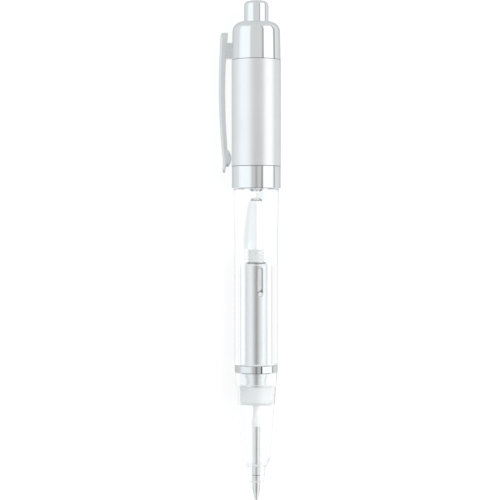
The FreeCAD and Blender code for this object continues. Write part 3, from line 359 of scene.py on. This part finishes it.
# Studio: the walls of a light tent around the pen's axis, as angle, level and how much red they
# lack. Angles run from the opening that the camera looks through, positive to the picture's right.
WALLS = [
    (-180, 1.0, 0.03),
    (-164, 1.0, 0.03),
    (-156, 0.66, 0.04),
    (-150, 0.65, 0.04),
    (-140, 0.65, 0.04),
    (-128, 0.75, 0.04),
    (-106, 0.81, 0.04),
    (-92, 0.86, 0.05),
    (-85, 1.04, 0.06),
    (-68, 1.1, 0.07),
    (-40, 1.06, 0.06),
    (-28, 0.99, 0.04),
    (-20, 0.66, 0.01),
    (-6, 0.58, 0.0),
    (-2, 0.41, 0.0),
    (2, 0.41, 0.0),
    (7, 0.59, 0.0),
    (22, 0.64, 0.0),
    (25, 0.25, 0.0),
    (29, 0.25, 0.0),
    (33, 1.14, 0.01),
    (84, 1.14, 0.01),
    (88, 0.6, 0.03),
    (95, 0.48, 0.03),
    (100, 0.84, 0.04),
    (126, 0.78, 0.04),
    (140, 0.67, 0.04),
    (156, 0.62, 0.04),
    (164, 1.0, 0.03),
    (180, 1.0, 0.03),
]
# The same tent towards the head of the pen
UPPER = [
    (-180, 0.64, 0.04),
    (-150, 0.65, 0.04),
    (-128, 0.75, 0.04),
    (-106, 0.81, 0.04),
    (-92, 0.8, 0.05),
    (-86, 1.0, 0.06),
    (-68, 1.1, 0.07),
    (-33, 1.08, 0.06),
    (-27, 0.76, 0.03),
    (-23, 0.73, 0.02),
    (0, 0.72, 0.02),
    (25.5, 0.73, 0.02),
    (29.5, 0.42, 0.01),
    (34, 0.42, 0.01),
    (38, 1.18, 0.0),
    (86, 1.18, 0.0),
    (90, 0.6, 0.02),
    (93, 0.4, 0.02),
    (98, 0.42, 0.03),
    (102, 0.86, 0.04),
    (126, 0.78, 0.04),
    (140, 0.66, 0.04),
    (180, 0.62, 0.04),
]
# The same tent at the level of the ring
RING = [
    (-180, 1.0, 0.03),
    (-164, 0.95, 0.03),
    (-156, 0.56, 0.04),
    (-140, 0.55, 0.04),
    (-128, 0.64, 0.04),
    (-106, 0.68, 0.04),
    (-96, 0.72, 0.05),
    (-86, 0.9, 0.06),
    (-68, 0.97, 0.07),
    (-40, 0.93, 0.06),
    (-29, 0.9, 0.04),
    (-20, 0.6, 0.01),
    (-8, 0.5, 0.0),
    (-2, 0.25, 0.0),
    (3, 0.25, 0.0),
    (8, 0.5, 0.0),
    (23, 0.6, 0.0),
    (26, 0.06, 0.0),
    (30.5, 0.06, 0.0),
    (34.5, 1.12, 0.01),
    (91, 1.14, 0.01),
    (94, 0.4, 0.03),
    (101, 0.45, 0.03),
    (106, 0.8, 0.04),
    (126, 0.74, 0.04),
    (140, 0.66, 0.04),
    (156, 0.6, 0.04),
    (164, 1.0, 0.03),
    (180, 1.0, 0.03),
]
# The tent seen through the clear pieces, with the lit sheet behind the pen
BEHIND = [
    (-180, 0.85, 0.01),
    (-178.6, 0.85, 0.01),
    (-177.4, 0.95, 0.05),
    (-168, 0.97, 0.05),
    (-160, 1.06, 0.02),
    (-121, 1.08, 0.01),
    (-110, 0.97, 0.03),
    (-99, 0.84, 0.04),
    (-92, 0.76, 0.04),
    (-62, 0.93, 0.04),
    (-46, 0.98, 0.04),
    (-31, 0.86, 0.03),
    (-23, 0.72, 0.01),
    (-12, 0.56, 0.0),
    (-3, 0.42, 0.0),
    (3, 0.42, 0.0),
    (14, 0.58, 0.0),
    (34, 0.86, 0.03),
    (46, 0.98, 0.04),
    (58, 1.14, 0.03),
    (78, 1.08, 0.03),
    (86, 0.96, 0.04),
    (92, 0.8, 0.04),
    (97, 0.84, 0.04),
    (103, 1.1, 0.0),
    (180, 1.1, 0.0),
]
# What the turned surface of the bore's end shows, which sends its light towards the head
BULLET = [
    (-180, 0.85, 0.02),
    (-177, 0.94, 0.05),
    (-150, 0.93, 0.05),
    (-140, 0.86, 0.04),
    (-104, 0.84, 0.04),
    (-92, 0.95, 0.03),
    (0, 1.05, 0.0),
    (100, 1.0, 0.01),
    (120, 1.08, 0.0),
    (180, 1.1, 0.0),
]
# The tent behind the lower part of the pen
LOWER = [
    (-180, 1.03, 0.03),
    (-168, 1.03, 0.03),
    (-163, 0.85, 0.03),
    (-141, 0.84, 0.03),
    (-136, 1.08, 0.01),
    (-109, 1.06, 0.01),
    (-99, 0.84, 0.04),
    (-92, 0.76, 0.04),
    (-62, 0.93, 0.04),
    (-46, 0.98, 0.04),
    (-31, 0.86, 0.03),
    (-23, 0.72, 0.01),
    (-12, 0.56, 0.0),
    (-3, 0.42, 0.0),
    (3, 0.42, 0.0),
    (14, 0.58, 0.0),
    (34, 0.86, 0.03),
    (46, 0.98, 0.04),
    (58, 1.14, 0.03),
    (78, 1.08, 0.03),
    (86, 0.96, 0.04),
    (92, 0.8, 0.04),
    (97, 0.84, 0.04),
    (103, 1.08, 0.0),
    (136, 1.08, 0.0),
    (141, 0.82, 0.03),
    (163, 0.84, 0.03),
    (168, 1.1, 0.0),
    (180, 1.1, 0.0),
]
# The tent behind the nose
NOSE = [
    (-180, 1.06, 0.02),
    (-99, 1.0, 0.02),
    (-92, 1.0, 0.03),
    (-84, 1.0, 0.03),
    (-76, 1.02, 0.03),
    (-46, 1.0, 0.03),
    (-24, 0.86, 0.03),
    (-4, 0.62, 0.0),
    (4, 0.38, 0.0),
    (12, 0.38, 0.0),
    (20, 0.62, 0.0),
    (34, 0.9, 0.02),
    (42, 1.12, 0.01),
    (78, 1.12, 0.01),
    (86, 1.0, 0.03),
    (92, 1.0, 0.03),
    (99, 1.04, 0.02),
    (180, 1.08, 0.01),
]
NOSE_WHITE = (1.04, 1.05, 1.05, 1)
SHOULDER_GREY = (0.72, 0.74, 0.75, 1)
HEAD_GREY = (0.69, 0.71, 0.72, 1)
FOOT_GREY = (0.03, 0.03, 0.03, 1)

# Where the tent changes: a direction's part towards the head where a change starts and where it
# is complete, and for the nose's edge and the foot its part towards the camera too
TO_UPPER = (0.04, 0.07)
TO_RING = (-0.05, -0.07)
TO_SHOULDER = (0.64, 0.72)
TO_NOSE_EDGE = (-0.088, -0.092)
NOSE_EDGE_BACK = (-0.45, -0.6)
TO_FOOT = (-0.65, -0.8)
FOOT_BACK = (0.08, 0.02)
TO_HEAD = (0.84, 0.9)
LOWER_TO_BEHIND = (-0.016, -0.01)
TO_BULLET = (0.045, 0.08)
PAST_BULLET = (0.42, 0.32)
TO_NOSE = (-0.085, -0.1)
PAST_NOSE = (-0.7, -0.6)


def tent_ramp(tree, turn, walls):
    """The colours of one ring of walls, for a turn from 0 to 1."""
    ramp = tree.nodes.new("ShaderNodeValToRGB")
    stops = ramp.color_ramp.elements
    while len(stops) > 1:
        stops.remove(stops[-1])
    for number, (degrees, level, warm) in enumerate(walls):
        stop = stops[0] if number == 0 else stops.new((degrees + 180) / 360)
        stop.position = (degrees + 180) / 360
        stop.color = (level * (1 - warm), level, level * (1 + 0.4 * warm), 1)
    tree.links.new(turn, ramp.inputs["Fac"])
    return ramp.outputs["Color"]


def tent_colour(tree, direction):
    """The tent's colour in a direction, seen through a clear piece or not, and the ray's kind."""
    right, front, headward = (vector_maths(tree, "DOT_PRODUCT", direction, axis)
                              for axis in (PICTURE_RIGHT, TOWARDS_CAMERA, HEADWARD))
    turn = tree.nodes.new("ShaderNodeMapRange")
    turn.inputs["From Min"].default_value = -math.pi
    turn.inputs["From Max"].default_value = math.pi
    tree.links.new(maths(tree, "ARCTAN2", right, front), turn.inputs["Value"])
    rays = tree.nodes.new("ShaderNodeLightPath")

    def ring(walls):
        return tent_ramp(tree, turn.outputs["Result"], walls)

    def part(zone, source=headward):
        return between(tree, source, *zone)

    def both(first, second):
        return maths(tree, "MULTIPLY", first, second)

    walls = blend_colours(tree, part(TO_UPPER), ring(WALLS), ring(UPPER))
    walls = blend_colours(tree, part(TO_RING), walls, ring(RING))
    walls = blend_colours(tree, part(TO_SHOULDER), walls, SHOULDER_GREY)
    nose_edge = both(part(TO_NOSE_EDGE), part(NOSE_EDGE_BACK, front))
    walls = blend_colours(tree, nose_edge, walls, NOSE_WHITE)
    walls = blend_colours(tree, both(part(TO_FOOT), part(FOOT_BACK, front)), walls, FOOT_GREY)
    walls = blend_colours(tree, part(TO_HEAD), walls, HEAD_GREY)
    behind = blend_colours(tree, part(LOWER_TO_BEHIND), ring(LOWER), ring(BEHIND))
    behind = blend_colours(tree, both(part(TO_BULLET), part(PAST_BULLET)), behind, ring(BULLET))
    behind = blend_colours(tree, both(part(TO_NOSE), part(PAST_NOSE)), behind, ring(NOSE))
    return blend_colours(tree, rays.outputs["Is Transmission Ray"], walls, behind), rays


# Floor: white to the camera, a part of the tent to mirrors and clear pieces, and otherwise a
# pale sheet. The camera sees a glow and a little of the lamps' light, with the pen's faint shadow.
FLOOR_SIZE = 6.0
FLOOR_DROP = 0.00002
FLOOR_GLOW = 0.86
FLOOR_SHADED = (0.2, 0.2, 0.2, 1)
SHEET_WHITE = (0.82, 0.82, 0.82, 1)
bpy.ops.mesh.primitive_plane_add(size=FLOOR_SIZE, location=(0, 0, -FLOOR_DROP))
floor = bpy.context.object
floor.name = "floor"
ground, tree, sheet = material("floor_white")
sheet.inputs["Base Color"].default_value = SHEET_WHITE
sheet.inputs["Roughness"].default_value = 0.9
sheet.inputs["Specular IOR Level"].default_value = 0.0
shaded = tree.nodes.new("ShaderNodeBsdfDiffuse")
shaded.inputs["Color"].default_value = FLOOR_SHADED
glow = tree.nodes.new("ShaderNodeEmission")
glow.inputs["Strength"].default_value = FLOOR_GLOW
shown = tree.nodes.new("ShaderNodeAddShader")
tree.links.new(shaded.outputs["BSDF"], shown.inputs[0])
tree.links.new(glow.outputs["Emission"], shown.inputs[1])
incoming = tree.nodes.new("ShaderNodeNewGeometry").outputs["Incoming"]
colour, rays = tent_colour(tree, vector_maths(tree, "MULTIPLY", incoming, (-1, -1, -1)))
mirrored = tree.nodes.new("ShaderNodeEmission")
tree.links.new(colour, mirrored.inputs["Color"])
bounced = maths(tree, "MAXIMUM", rays.outputs["Is Glossy Ray"], rays.outputs["Is Transmission Ray"])
unseen = mix_shaders(tree, bounced, sheet.outputs["BSDF"], mirrored.outputs["Emission"])
surface = mix_shaders(tree, rays.outputs["Is Camera Ray"], unseen, shown.outputs["Shader"])
tree.links.new(surface, tree.nodes["Material Output"].inputs["Surface"])
floor.data.materials.append(ground)

# World: the tent, and plain white to the camera
world = bpy.data.worlds.new("light_tent")
bpy.context.scene.world = world
world.use_nodes = True
tree = world.node_tree
colour, rays = tent_colour(tree, tree.nodes.new("ShaderNodeTexCoord").outputs["Generated"])
tent = tree.nodes["Background"]
tree.links.new(colour, tent.inputs["Color"])
white = tree.nodes.new("ShaderNodeBackground")
white.inputs["Strength"].default_value = 1.0
surface = mix_shaders(tree, rays.outputs["Is Camera Ray"], tent.outputs["Background"],
                      white.outputs["Background"])
tree.links.new(surface, tree.nodes["World Output"].inputs["Surface"])

# Lamps: over this place along the pen, at this distance
LAMPS_ALONG = 0.085
LAMPS_AWAY = 0.9
LAMPS_LENGTH = 1.2


def soft_box(name, degrees, width, watts):
    """A soft lamp at an angle round the pen's axis, its long side along the pen."""
    light = bpy.data.lights.new(name, "AREA")
    light.shape = "RECTANGLE"
    light.size = width
    light.size_y = LAMPS_LENGTH
    light.energy = watts
    lamp = bpy.data.objects.new(name, light)
    lamp.visible_glossy = False
    lamp.visible_transmission = False
    bpy.context.scene.collection.objects.link(lamp)
    turned = math.radians(degrees)
    away = TOWARDS_CAMERA * math.cos(turned) + PICTURE_RIGHT * math.sin(turned)
    lamp.location = axis_point(LAMPS_ALONG) + away * LAMPS_AWAY
    aim(lamp, HEADWARD.cross(away), away)


soft_box("key_light", 60, 0.45, 5.5)
soft_box("fill_light", -62, 0.5, 6.5)

# Camera: straight at the pen's axis, at the photograph's eye level
camera_data = bpy.data.cameras.new("camera")
camera = bpy.data.objects.new("camera", camera_data)
bpy.context.scene.collection.objects.link(camera)
bpy.context.scene.camera = camera
camera_data.sensor_width = SENSOR_MM
camera_data.lens = SENSOR_MM * FOCAL_PX / PIXELS
camera_data.shift_x = (PIXELS / 2 - AXIS_PX) / PIXELS
camera_data.shift_y = (EYE_PX - PIXELS / 2) / PIXELS
camera_data.clip_start = 0.01
camera.location = axis_point((TIP_PX - EYE_PX) * PIXEL_M, FOCAL_PX * PIXEL_M)
aim(camera, PICTURE_RIGHT, TOWARDS_CAMERA)

bpy.context.scene.view_settings.view_transform = "Standard"
# Light may pass the clear pieces and bounce between mirrors many times
CLEAR_BOUNCES = 128
cycles = bpy.context.scene.cycles
cycles.max_bounces = CLEAR_BOUNCES
cycles.transmission_bounces = CLEAR_BOUNCES
cycles.glossy_bounces = CLEAR_BOUNCES
cycles.diffuse_bounces = 8
